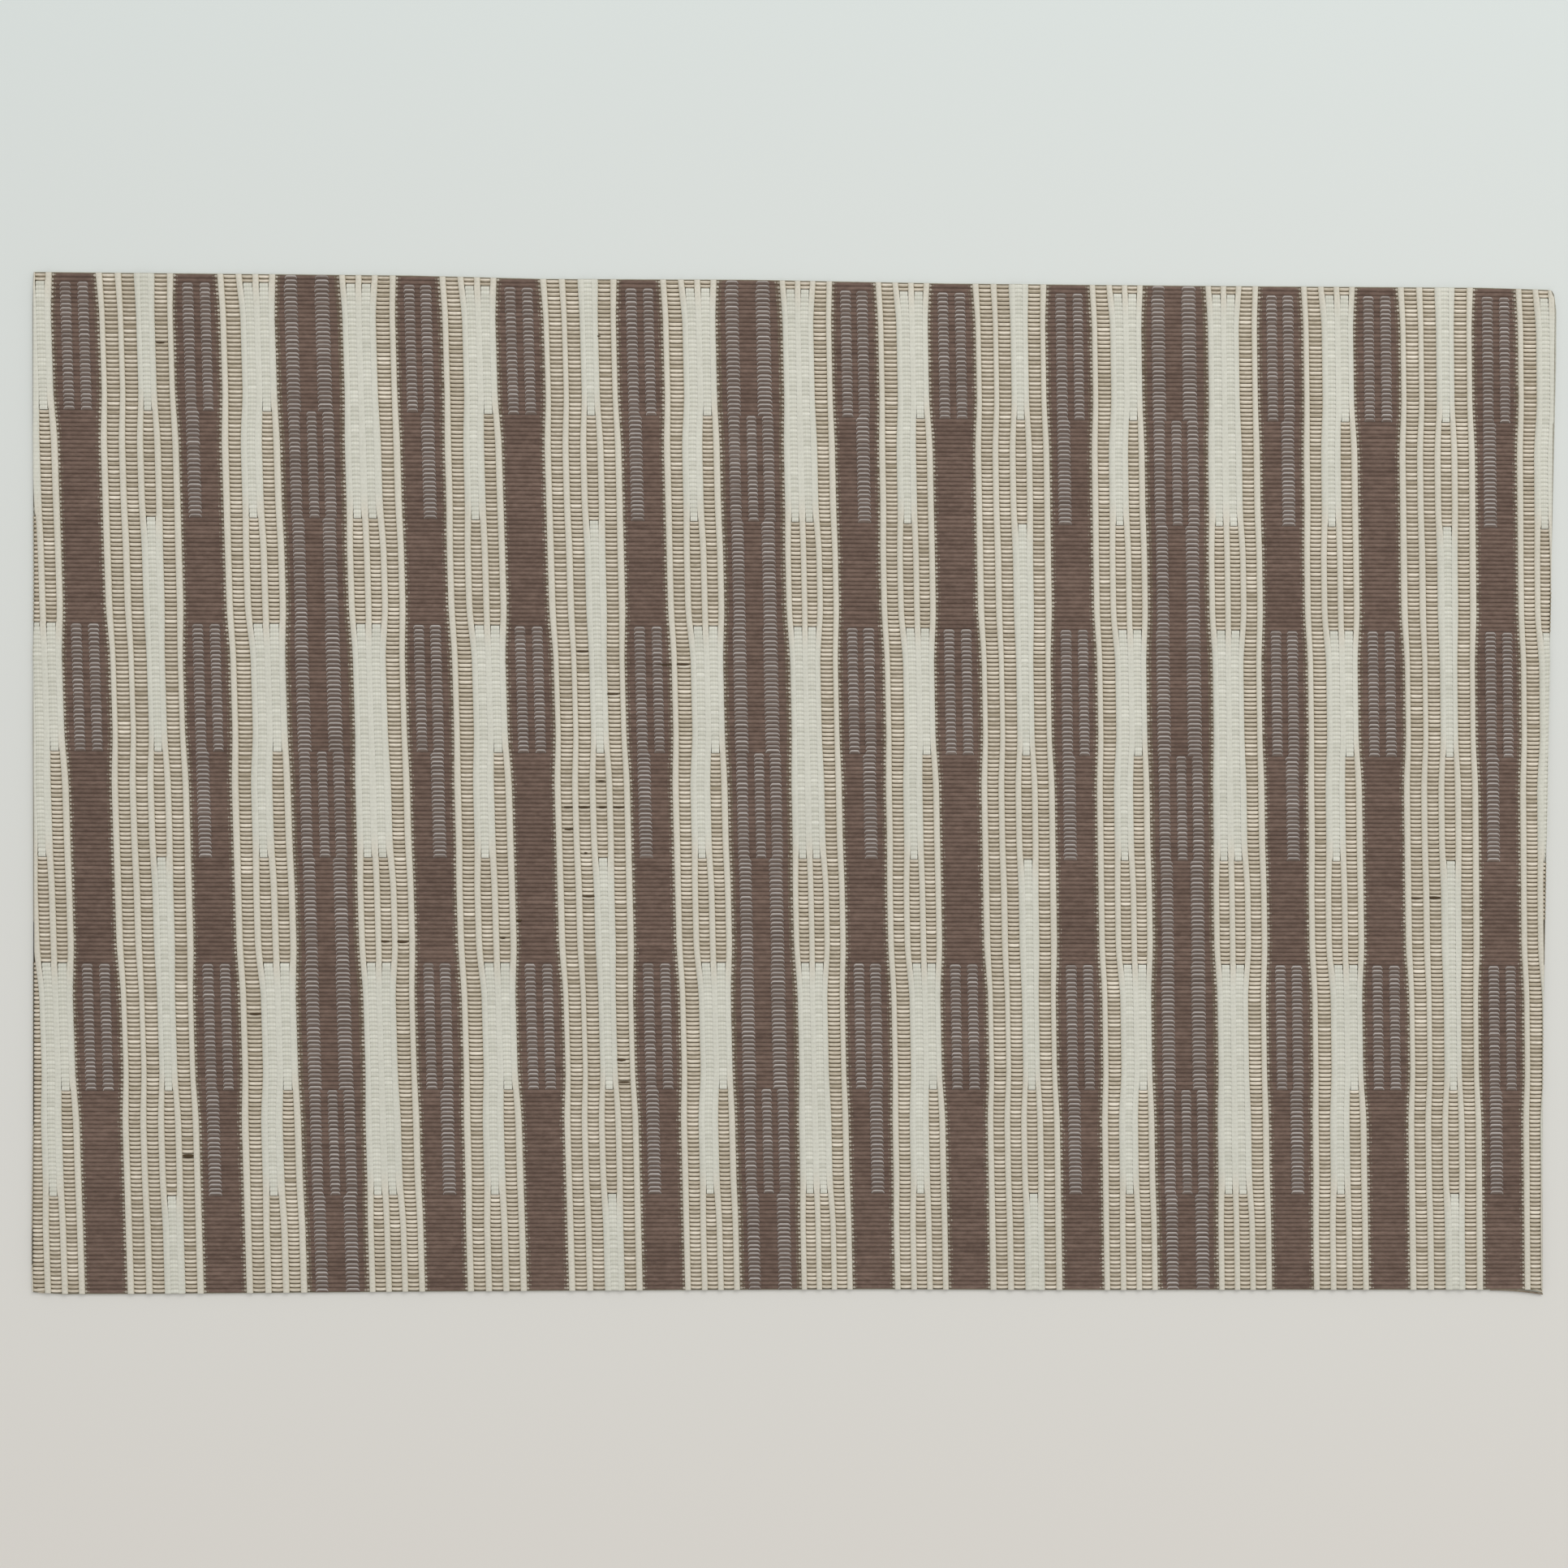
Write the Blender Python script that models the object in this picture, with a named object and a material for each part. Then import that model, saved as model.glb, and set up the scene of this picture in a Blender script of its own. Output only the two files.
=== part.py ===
"""Woven paper placemat, lying flat: one ribbed sheet with a thin sealed rim.

Metres, +Z up. The rest face is at z = 0, +X runs along the long edges and +Y across
them, toward the edge that is the far one on the table. The origin is the middle of the
mat's underside.
"""

import math

import bpy

# Driving dimensions
MAT_WIDTH = 0.450
MAT_DEPTH = 0.300
CREST_HEIGHT = 0.0014
VALLEY_HEIGHT = 0.0011
RIM_HEIGHT = 0.0008
RIM_WIDTH = 0.0009

# Ribs: paper wefts that run the whole width, packed side by side
RIB_COUNT = 240
RIB_WAVER = 0.00008
WAVER_CYCLES = (7.3, 17.9)
BODY_COLUMNS = 5

# How far each edge stands out past its straight line: a row for each bend, with its
# distance along the edge and its bulge, both in millimetres. Sides run down from the far
# edge, and the far and near edges run from left to right.
MM = 0.001
LEFT_EDGE = (
    # along, bulge
    (0.0, 0.2),
    (10.0, 0.6),
    (30.0, 0.5),
    (90.0, 0.1),
    (130.0, 0.3),
    (190.0, 0.1),
    (250.0, 0.1),
    (290.0, 0.5),
    (300.0, 0.4),
)
RIGHT_EDGE = (
    # along, bulge
    (0.0, -0.7),
    (1.5, 0.2),
    (6.0, 0.9),
    (22.0, 1.0),
    (60.0, 0.5),
    (120.0, -0.2),
    (200.0, -0.6),
    (222.0, -0.8),
    (262.0, -0.6),
    (300.0, -0.1),
)
FAR_EDGE = (
    # along, bulge
    (0.0, 0.4),
    (110.0, 0.5),
    (150.0, -0.1),
    (210.0, 0.3),
    (270.0, -0.2),
    (350.0, -0.1),
    (430.0, 0.2),
    (450.0, -0.3),
)
NEAR_EDGE = (
    # along, bulge
    (0.0, 0.6),
    (10.0, 1.3),
    (60.0, 0.9),
    (110.0, 0.4),
    (190.0, -0.1),
    (250.0, -0.4),
    (310.0, -0.2),
    (350.0, -0.3),
    (444.0, -0.4),
    (450.0, 0.8),
)

# Finish: the mat's cream, tan and brown paper at a distance
PAPER_COLOUR = (0.42, 0.38, 0.31, 1.0)
PAPER_ROUGHNESS = 0.75


def clear_scene():
    """Take away whatever the file holds."""
    for item in list(bpy.data.objects):
        bpy.data.objects.remove(item, do_unlink=True)


def bulge_at(edge, along):
    """Bulge of an edge table at a distance along it, straight between its rows."""
    along = along / MM
    for (start, first), (end, second) in zip(edge, edge[1:]):
        if along <= end:
            return (first + (second - first) * (along - start) / (end - start)) * MM
    return edge[-1][1] * MM


def left_x(down):
    """X of the left side, a distance down from the far edge."""
    return -MAT_WIDTH / 2 - bulge_at(LEFT_EDGE, down)


def right_x(down):
    """X of the right side, a distance down from the far edge."""
    return MAT_WIDTH / 2 + bulge_at(RIGHT_EDGE, down)


def far_y(along):
    """Y of the far edge, a distance along from its left end."""
    return MAT_DEPTH / 2 + bulge_at(FAR_EDGE, along)


def near_y(along):
    """Y of the near edge, a distance along from its left end."""
    return -MAT_DEPTH / 2 - bulge_at(NEAR_EDGE, along)


def sheet_point(across, down_share, inset, height):
    """Point of the sheet: share across it and share down it, held inset from the rim."""
    down = down_share * MAT_DEPTH
    west = left_x(down) + inset
    east = right_x(down) - inset
    x = west + (east - west) * across
    along = min(max(x + MAT_WIDTH / 2, 0.0), MAT_WIDTH)
    top = far_y(along) - inset
    bottom = near_y(along) + inset
    return (x, top + (bottom - top) * down_share, height)


def rib_share(line):
    """Share down the sheet of a rib line; even lines are valleys, odd ones crests."""
    share = line / (2 * RIB_COUNT)
    slow, quick = WAVER_CYCLES
    waver = math.sin(slow * math.tau * share) + math.sin(quick * math.tau * share)
    ends = math.sin(math.pi * share)
    return share + RIB_WAVER / MAT_DEPTH * waver * ends / 2


class Skin:
    """Vertices and triangles of the sheet, gathered strip by strip."""

    def __init__(self):
        self.points = []
        self.faces = []

    def line(self, points):
        """Add a row of points and return their numbers."""
        first = len(self.points)
        self.points.extend(points)
        return list(range(first, len(self.points)))

    def strip(self, one, other):
        """Fill between two lines that pair up point by point."""
        pairs = list(zip(one, other))
        for (start, across), (end, over) in zip(pairs, pairs[1:]):
            self.faces.append((start, end, over, across))

    def stitch(self, one, other, axis):
        """Fill between two lines whose points needn't pair up, in order along an axis.

        Seen from outside, the second line lies to the left of the first line's course.
        """
        sign = 1 if self.points[one[-1]][axis] > self.points[one[0]][axis] else -1
        i, j = 0, 0
        while i < len(one) - 1 or j < len(other) - 1:
            last_i = i == len(one) - 1
            last_j = j == len(other) - 1
            ahead = 0.0
            if not last_i and not last_j:
                ahead = sign * (self.points[one[i + 1]][axis] - self.points[other[j + 1]][axis])
            if last_j or (not last_i and ahead <= 0.0):
                self.faces.append((one[i], one[i + 1], other[j]))
                i += 1
            else:
                self.faces.append((one[i], other[j + 1], other[j]))
                j += 1


def ribbed_columns(skin):
    """Top face: columns of alternating valley and crest points, from left to right."""
    lines = range(2 * RIB_COUNT + 1)
    columns = []
    for column in range(BODY_COLUMNS):
        across = column / (BODY_COLUMNS - 1)
        heights = [CREST_HEIGHT if line % 2 else VALLEY_HEIGHT for line in lines]
        points = [sheet_point(across, rib_share(line), RIM_WIDTH, height)
                  for line, height in zip(lines, heights)]
        columns.append(skin.line(points))
    for west, east in zip(columns, columns[1:]):
        skin.strip(west, east)
    return columns


def outline_ring(skin, height):
    """Outline at one height: its far, right, near and left runs share their corners."""
    far_stops = [along * MM / MAT_WIDTH for along, _ in FAR_EDGE]
    near_stops = [along * MM / MAT_WIDTH for along, _ in NEAR_EDGE]
    right_stops = [down * MM / MAT_DEPTH for down, _ in RIGHT_EDGE]
    left_stops = [down * MM / MAT_DEPTH for down, _ in LEFT_EDGE]
    far = skin.line([sheet_point(stop, 0.0, 0.0, height) for stop in far_stops])
    near = skin.line([sheet_point(stop, 1.0, 0.0, height) for stop in near_stops])
    right = skin.line([sheet_point(1.0, stop, 0.0, height) for stop in right_stops[1:-1]])
    left = skin.line([sheet_point(0.0, stop, 0.0, height) for stop in left_stops[1:-1]])
    return {
        "far": far,
        "right": [far[-1]] + right + [near[-1]],
        "near": near,
        "left": [far[0]] + left + [near[0]],
    }


def rim(skin, columns, edge):
    """Sealed rim: slopes from the ribs' ends down to the outline."""
    skin.stitch(edge["left"], columns[0], axis=1)
    skin.stitch(columns[-1], edge["right"], axis=1)
    skin.stitch([column[0] for column in columns], edge["far"], axis=0)
    skin.stitch(edge["near"], [column[-1] for column in columns], axis=0)


def walls(skin, edge, foot):
    """Upright edge of the sheet, from the rim down to the rest face."""
    skin.stitch(foot["left"], edge["left"], axis=1)
    skin.stitch(edge["right"], foot["right"], axis=1)
    skin.stitch(edge["far"], foot["far"], axis=0)
    skin.stitch(foot["near"], edge["near"], axis=0)


def rest_face(skin, foot):
    """Flat underside, one face round the outline."""
    ring = foot["far"] + foot["right"][1:] + foot["near"][-2::-1] + foot["left"][-2:0:-1]
    skin.faces.append(tuple(ring))


def paper_material():
    """Cream, tan and brown twisted paper, matt."""
    material = bpy.data.materials.new("woven_paper")
    material.use_nodes = True
    shader = material.node_tree.nodes["Principled BSDF"]
    shader.inputs["Base Color"].default_value = PAPER_COLOUR
    shader.inputs["Roughness"].default_value = PAPER_ROUGHNESS
    shader.inputs["Metallic"].default_value = 0.0
    return material


def centred(points):
    """Points moved so that the box's middle is over the origin."""
    xs = [point[0] for point in points]
    ys = [point[1] for point in points]
    middle_x = (min(xs) + max(xs)) / 2
    middle_y = (min(ys) + max(ys)) / 2
    return [(x - middle_x, y - middle_y, z) for x, y, z in points]


def placemat():
    """The mat: ribs, rim, walls and rest face as one closed sheet."""
    skin = Skin()
    columns = ribbed_columns(skin)
    edge = outline_ring(skin, RIM_HEIGHT)
    foot = outline_ring(skin, 0.0)
    rim(skin, columns, edge)
    walls(skin, edge, foot)
    rest_face(skin, foot)
    mesh = bpy.data.meshes.new("placemat")
    mesh.from_pydata(centred(skin.points), [], skin.faces)
    mesh.validate()
    mesh.update()
    mesh.materials.append(paper_material())
    mat = bpy.data.objects.new("placemat", mesh)
    bpy.context.scene.collection.objects.link(mat)
    return mat


clear_scene()
placemat()
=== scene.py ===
"""Woven paper placemat, dressed: its yarns, ribs, ribbons, openwork and sealed rim.

The chart below is laid out in millimetres from the mat's far left corner, to the right
and down toward the near edge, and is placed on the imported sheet's own outline.
"""

import math

import bpy
import numpy as np
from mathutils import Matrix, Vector


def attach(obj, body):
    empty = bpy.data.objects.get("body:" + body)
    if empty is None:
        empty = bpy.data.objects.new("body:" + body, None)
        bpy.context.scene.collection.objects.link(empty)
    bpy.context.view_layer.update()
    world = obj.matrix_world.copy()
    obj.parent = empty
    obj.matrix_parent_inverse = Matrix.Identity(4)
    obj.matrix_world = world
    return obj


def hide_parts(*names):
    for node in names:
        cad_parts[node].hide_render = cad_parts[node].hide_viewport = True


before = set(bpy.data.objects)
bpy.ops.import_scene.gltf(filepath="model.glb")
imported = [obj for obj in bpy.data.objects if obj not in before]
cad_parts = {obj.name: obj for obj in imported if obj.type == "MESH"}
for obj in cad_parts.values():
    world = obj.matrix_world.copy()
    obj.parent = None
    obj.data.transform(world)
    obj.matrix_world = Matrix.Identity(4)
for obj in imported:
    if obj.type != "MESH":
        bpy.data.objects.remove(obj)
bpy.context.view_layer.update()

# Sheet
MM = 0.001
CHART_WIDTH = 450.0
CHART_DEPTH = 300.0
CHART_MIDDLE = (-0.2, 0.4)
RIBS = 240
LINES = 2 * RIBS + 1
PITCH = CHART_DEPTH / RIBS

# Heights above the table, in millimetres
BASE_FOOT = 0.05
BASE_TOP = 0.62
RUNG_SEAT = 0.75
FACE_SEAT = 1.1
BROWN_SEAT = 0.88
ARC_SEAT = 1.17
GROUND_SEAT = 1.02
KNOT_SEAT = 1.02
SLUB_SEAT = 1.05
RIBBON_EDGE = 0.95
RIBBON_SHOULDER = 1.42
RIBBON_CROWN = 1.5

# The weave stops this far inside the outline, where the sealed rim takes over
WEAVE_INSET = 0.3
WEAVE_PAST = 0.1
NEAR_ENDS = ((430.0, 300.85), (443.0, 299.3))

# Weaving order down the mat: which phase of the pattern, and for how many ribs
PHASE_RUNS = (
    # phase, ribs
    (3, 2),
    (1, 30),
    (2, 25),
    (3, 25),
    (1, 30),
    (2, 25),
    (3, 25),
    (1, 30),
    (2, 25),
    (3, 23),
)
PHASES = 3

# A change of phase starts this many ribs before its place and settles this many after it
LEAD_RIBS = 6.0
LAG_RIBS = 9.0

# Brown stripes across the mat, in millimetres. They lean to the right toward the near
# edge. The first and last lie past the sides and only space the columns that are cut.
STRIPES = (
    # kind, middle at the far edge, lean by the near edge
    ("A", -18.3, 10.3),
    ("B", 11.6, 10.0),
    ("C", 47.1, 9.5),
    ("W", 79.9, 10.1),
    ("A", 112.3, 9.6),
    ("B", 141.9, 10.1),
    ("C", 177.3, 9.1),
    ("W", 209.7, 8.5),
    ("A", 241.0, 7.9),
    ("B", 269.8, 7.7),
    ("C", 304.6, 7.0),
    ("W", 336.2, 6.9),
    ("A", 367.7, 6.8),
    ("B", 396.6, 7.0),
    ("C", 432.0, 6.1),
    ("W", 463.8, 6.0),
)
STRIPE_WIDTHS = {
    # kind: width in phases 1, 2 and 3
    "A": (13.8, 13.0, 12.5),
    "B": (14.1, 12.5, 12.4),
    "C": (13.8, 12.5, 12.5),
    "W": (19.8, 18.9, 18.3),
}

# Columns to the right of each stripe, up to the next. R is a ribbon, L is open ladder
# work, and a set of three letters says face (F) or ladder (L) in phases 1, 2 and 3.
SECTIONS = {
    "W": ("R", "FFL", "R", "FFL", "R", "L", "R"),
    "A": ("R", "L", "R", "FFL", "R", "FLL", "R"),
    "B": ("R", "L", "R", "L", "R", "FLF", "R", "L", "R"),
    "C": ("R", "L", "R", "FFL", "R", "FLL", "R"),
}
RIBBON_WIDTHS = (1.65, 2.0, 2.0)
LADDER_WIDTHS = (3.75, 3.45, 3.45)
SWITCH_WIDTHS = {"F": 2.15, "L": 3.25}

# Grey arcs on each stripe in each phase: how far their middle is from the stripe's, and
# how wide they are, in millimetres
ARCS = {
    "A": {1: ((-2.55, 3.1), (2.35, 3.2)), 2: ((1.8, 3.8),)},
    "B": {1: ((-2.5, 3.1), (2.6, 3.1))},
    "C": {1: ((-2.25, 3.2), (2.8, 3.0)), 2: ((-1.95, 3.8),)},
    "W": {
        1: ((-4.95, 3.9), (4.2, 4.2)),
        2: ((-5.1, 3.3), (0.05, 2.9), (4.9, 3.3)),
        3: ((-4.75, 3.6), (4.3, 3.9)),
    },
}
SEED = 11

# Beside a ladder a face column draws in, and a slit opens on both its sides
SLIT_RIBS = 6
SLIT_WIDTH = 0.8

# Ribs that the floats lie on, by kind of work
RIB_SIZES = {
    # seat and height in mm, width as a share of the pitch, overlap in mm, spread of shade
    "face": (FACE_SEAT, 0.34, 1.02, 0.5, 0.12),
    "rung": (RUNG_SEAT, 0.5, 0.88, 0.6, 0.15),
    "brown": (BROWN_SEAT, 0.42, 1.04, 0.3, 0.08),
}
SHORTEST_RIB = 0.3

# Sizes of the small floats in millimetres, and how many times their chart width two are
ARC_SHIFT = 0.2
ARC_WIDTH = 0.6
ARC_HEIGHT = 0.34
KNOT_WIDTH = 0.75
SLUB_HEIGHT = 0.4
GROUND_SPREAD = 1.05
SLUB_SWELL = 1.3

# Rows of knots down each side of a stripe, in millimetres
KNOTS = (
    # how far inside the stripe, length, height, shade
    (0.35, 1.0, 0.4, 0.3),
    (1.2, 0.6, 0.36, 1.0),
)

# Slubs, where a weft is thick and dark, on the chart in millimetres
SLUBS = (
    # middle from the left, depth, length, width
    (37.0, 20.2, 2.4, 0.5),
    (165.0, 17.0, 2.5, 0.5),
    (161.4, 110.0, 3.2, 0.5),
    (191.0, 113.7, 3.7, 0.6),
    (185.5, 113.9, 5.0, 0.4),
    (170.2, 122.6, 4.0, 0.45),
    (167.0, 148.3, 2.4, 0.4),
    (157.4, 156.1, 2.6, 0.45),
    (162.0, 156.1, 3.3, 0.7),
    (167.5, 156.1, 2.4, 0.65),
    (172.3, 156.1, 3.4, 0.55),
    (157.6, 162.8, 2.6, 0.45),
    (162.6, 169.7, 0.9, 0.5),
    (415.8, 181.8, 3.7, 0.8),
    (410.3, 182.0, 3.3, 0.5),
    (163.5, 182.6, 3.6, 0.65),
    (143.0, 189.8, 1.5, 0.75),
    (138.2, 195.0, 1.5, 0.55),
    (103.4, 196.2, 2.5, 0.5),
    (108.4, 196.3, 3.5, 0.85),
    (65.3, 217.9, 3.4, 0.6),
    (173.4, 231.2, 2.6, 0.75),
    (174.3, 237.8, 3.4, 0.5),
    (45.6, 260.0, 3.3, 0.85),
)


def smooth_step(value):
    """0 before 0, 1 after 1, and smooth between."""
    value = np.clip(value, 0.0, 1.0)
    return value * value * (3.0 - 2.0 * value)


def rib_phases():
    """Phase of each rib, from the far edge down."""
    return np.concatenate([[phase] * count for phase, count in PHASE_RUNS])


def phase_shares():
    """How far the columns' widths have settled into each phase, on every half rib line."""
    lines = np.arange(LINES) / 2
    shares = np.zeros((LINES, PHASES))
    shares[:, PHASE_RUNS[0][0] - 1] = 1.0
    change = 0
    for (before, count), (after, _) in zip(PHASE_RUNS, PHASE_RUNS[1:]):
        change += count
        settled = smooth_step((lines - change + LEAD_RIBS) / (LEAD_RIBS + LAG_RIBS))
        shares[:, before - 1] -= settled
        shares[:, after - 1] += settled
    return shares


def weave_end(x):
    """Y where the last rib ends at an X, short of the sealed rim's wider places."""
    along, ends = zip(*NEAR_ENDS)
    last = np.interp(x - CHART_MIDDLE[0] + CHART_WIDTH / 2, along, ends)
    return CHART_MIDDLE[1] + CHART_DEPTH / 2 - last


class Outline:
    """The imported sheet's outline on the table, read as a height or a side at a place."""

    def __init__(self, node):
        points = np.array([vertex.co for vertex in node.data.vertices]) / MM
        foot = np.unique(points[points[:, 2] < 0.01][:, :2].round(3), axis=0)
        turn = np.arctan2(foot[:, 1], foot[:, 0])
        ring = foot[np.argsort(-turn)]
        start = int(np.argmax(ring[:, 1] - ring[:, 0]))
        ring = np.roll(ring, -start, axis=0)
        right = int(np.argmax(ring[:, 0] + ring[:, 1]))
        near = int(np.argmax(ring[:, 0] - ring[:, 1]))
        left = int(np.argmax(-ring[:, 0] - ring[:, 1]))
        closed = np.vstack([ring, ring[:1]])
        self.far = closed[:right + 1]
        self.right = closed[right:near + 1]
        self.near = closed[near:left + 1][::-1]
        self.left = closed[left:][::-1]

    def far_y(self, x):
        """Far edge's Y at an X."""
        return np.interp(x, self.far[:, 0], self.far[:, 1])

    def near_y(self, x):
        """Near edge's Y at an X."""
        return np.interp(x, self.near[:, 0], self.near[:, 1])

    def left_x(self, y):
        """Left side's X at a Y."""
        return np.interp(-y, -self.left[:, 1], self.left[:, 0])

    def right_x(self, y):
        """Right side's X at a Y."""
        return np.interp(-y, -self.right[:, 1], self.right[:, 0])

    def weave_sides(self, y):
        """X where the weave starts and ends at a Y, inside the sealed rim."""
        start = CHART_MIDDLE[0] - CHART_WIDTH / 2
        east = np.minimum(self.right_x(y) - WEAVE_INSET, start + CHART_WIDTH + WEAVE_PAST)
        west = np.maximum(self.left_x(y) + WEAVE_INSET, start - WEAVE_PAST)
        return west, east

    def rib_y(self, x, line, inset=WEAVE_INSET):
        """Y of a half rib line, counted from the far edge, at an X."""
        far = self.far_y(x) - inset
        near = np.maximum(self.near_y(x) + inset, weave_end(x))
        return far + (near - far) * line / (LINES - 1)


outline = Outline(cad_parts["placemat"])


class Column:
    """One column of the weave: its kind in each phase and its borders on every line."""

    def __init__(self, kinds, left, right):
        self.kinds = kinds
        self.left = left
        self.right = right
        self.neighbours = ("edge", "edge")

    def kind_at(self, phase):
        """Kind of work in a phase."""
        return self.kinds[min(phase, len(self.kinds)) - 1]

    def meets_face(self, side, phase):
        """Whether the column on a side (0 left, 1 right) shows a face in a phase."""
        kinds = self.neighbours[side]
        return len(kinds) == PHASES and kinds[phase - 1] == "F"


def nominal_widths(kinds):
    """Width of a column in phases 1, 2 and 3."""
    if kinds == "R":
        return RIBBON_WIDTHS
    if kinds == "L":
        return LADDER_WIDTHS
    return tuple(SWITCH_WIDTHS[letter] for letter in kinds)


def chart_columns():
    """Lay out every stripe, ribbon, face and ladder column, as world X in millimetres."""
    down = np.arange(LINES) / (LINES - 1)
    shares = phase_shares()
    origin = CHART_MIDDLE[0] - CHART_WIDTH / 2
    west, east = outline.weave_sides(outline.rib_y(0.0, np.arange(LINES)))
    stripes = []
    for kind, far_middle, lean in STRIPES:
        middle = origin + far_middle + lean * down
        half = shares @ np.array(STRIPE_WIDTHS[kind]) / 2
        stripes.append((kind, middle - half, middle + half))
    columns = []
    for (kind, left, right), (_, following, _) in zip(stripes, stripes[1:]):
        columns.append(Column(kind, left, right))
        section = SECTIONS[kind]
        widths = np.array([shares @ np.array(nominal_widths(kinds)) for kinds in section])
        widths *= (following - right) / widths.sum(axis=0)
        borders = right + np.vstack([np.zeros(LINES), np.cumsum(widths, axis=0)])
        for kinds, start, end in zip(section, borders, borders[1:]):
            columns.append(Column(kinds, start, end))
    for place, column in enumerate(columns[1:-1], start=1):
        column.neighbours = (columns[place - 1].kinds, columns[place + 1].kinds)
    for column in columns:
        column.left = np.clip(column.left, west, east)
        column.right = np.clip(column.right, west, east)
    return [column for column in columns if (column.right - column.left).max() > 0.05]


# Yarn floats: short crowned lengths of yarn, laid by Geometry Nodes on a list of places

def math_node(tree, operation, first, second=None):
    """Math node fed by sockets or numbers."""
    node = tree.nodes.new("ShaderNodeMath")
    node.operation = operation
    for slot, value in zip(node.inputs, (first, second)):
        if isinstance(value, bpy.types.NodeSocket):
            tree.links.new(value, slot)
        elif value is not None:
            slot.default_value = value
    return node.outputs[0]


def float_tree():
    """Tree that lays one crowned float of yarn at each point, at the point's own size.

    A float spans -0.5 to 0.5 both ways before its size: X along the yarn, Y across it.
    """
    tree = bpy.data.node_groups.new("yarn_floats", "GeometryNodeTree")
    face = tree.interface
    face.new_socket("Places", in_out="INPUT", socket_type="NodeSocketGeometry")
    for name in SHAPE_INPUTS:
        kind = "Int" if name.startswith("Points") else "Float"
        face.new_socket(name, in_out="INPUT", socket_type="NodeSocket" + kind)
    face.new_socket("Yarn", in_out="INPUT", socket_type="NodeSocketMaterial")
    face.new_socket("Floats", in_out="OUTPUT", socket_type="NodeSocketGeometry")
    given = tree.nodes.new("NodeGroupInput").outputs
    made = tree.nodes.new("NodeGroupOutput").inputs

    patch = tree.nodes.new("GeometryNodeMeshGrid")
    tree.links.new(given["Points Along"], patch.inputs["Vertices X"])
    tree.links.new(given["Points Across"], patch.inputs["Vertices Y"])
    place = tree.nodes.new("ShaderNodeSeparateXYZ")
    tree.links.new(tree.nodes.new("GeometryNodeInputPosition").outputs[0], place.inputs[0])
    even = math_node(tree, "MULTIPLY", place.outputs["X"], 2.0)
    crowded = math_node(tree, "POWER", math_node(tree, "ABSOLUTE", even), given["End Crowding"])
    along = math_node(tree, "MULTIPLY", crowded, math_node(tree, "SIGN", even))
    reach = math_node(tree, "POWER", math_node(tree, "ABSOLUTE", along), 2.0)
    tip = math_node(tree, "POWER", math_node(tree, "ABSOLUTE", along), given["End Sharpness"])

    narrowing = math_node(tree, "MULTIPLY", reach, given["End Taper"])
    width = math_node(tree, "SUBTRACT", 1.0, narrowing)
    across = math_node(tree, "MULTIPLY", place.outputs["Y"], width)
    bowed = math_node(tree, "MULTIPLY", tip, given["Bow"])
    side = math_node(tree, "SUBTRACT", across, bowed)
    round_top = math_node(tree, "COSINE", math_node(tree, "MULTIPLY", place.outputs["Y"], math.pi))
    drop = math_node(tree, "MULTIPLY", tip, given["End Dive"])
    height = math_node(tree, "SUBTRACT", round_top, drop)

    shape = tree.nodes.new("ShaderNodeCombineXYZ")
    tree.links.new(math_node(tree, "MULTIPLY", along, 0.5), shape.inputs["X"])
    tree.links.new(side, shape.inputs["Y"])
    tree.links.new(height, shape.inputs["Z"])
    move = tree.nodes.new("GeometryNodeSetPosition")
    tree.links.new(shape.outputs[0], move.inputs["Position"])
    side_share = math_node(tree, "MULTIPLY", place.outputs["Y"], 2.0)
    floated = patch.outputs["Mesh"]
    for name, value in (("along", along), ("across", side_share)):
        keep = tree.nodes.new("GeometryNodeStoreNamedAttribute")
        keep.inputs["Name"].default_value = name
        tree.links.new(floated, keep.inputs["Geometry"])
        tree.links.new(value, keep.inputs["Value"])
        floated = keep.outputs[0]
    tree.links.new(floated, move.inputs["Geometry"])

    size = tree.nodes.new("GeometryNodeInputNamedAttribute")
    size.data_type = "FLOAT_VECTOR"
    size.inputs["Name"].default_value = "size"
    lay = tree.nodes.new("GeometryNodeInstanceOnPoints")
    tree.links.new(given["Places"], lay.inputs["Points"])
    tree.links.new(move.outputs[0], lay.inputs["Instance"])
    tree.links.new(size.outputs["Attribute"], lay.inputs["Scale"])
    real = tree.nodes.new("GeometryNodeRealizeInstances")
    tree.links.new(lay.outputs[0], real.inputs[0])
    smooth = tree.nodes.new("GeometryNodeSetShadeSmooth")
    tree.links.new(real.outputs[0], smooth.inputs[0])
    paint = tree.nodes.new("GeometryNodeSetMaterial")
    tree.links.new(smooth.outputs[0], paint.inputs["Geometry"])
    tree.links.new(given["Yarn"], paint.inputs["Material"])
    tree.links.new(paint.outputs[0], made["Floats"])
    return tree


def store(mesh, name, values, kind="FLOAT"):
    """Keep one number, or one vector, for each of a mesh's points."""
    layer = mesh.attributes.new(name, kind, "POINT")
    field = "vector" if kind == "FLOAT_VECTOR" else "value"
    layer.data.foreach_set(field, np.asarray(values, dtype=np.float32).ravel())


def bake_map(mesh):
    """Flat map from above, filling the square: the weave is seen that way."""
    places = np.empty(len(mesh.vertices) * 3, dtype=np.float32)
    mesh.vertices.foreach_get("co", places)
    places = places.reshape(-1, 3)[:, :2]
    low = places.min(axis=0)
    span = places.max(axis=0) - low
    corners = np.empty(len(mesh.loops), dtype=np.int32)
    mesh.loops.foreach_get("vertex_index", corners)
    layer = mesh.uv_layers.new(name="OFBake")
    layer.data.foreach_set("uv", ((places - low) / span)[corners].ravel())


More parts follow.
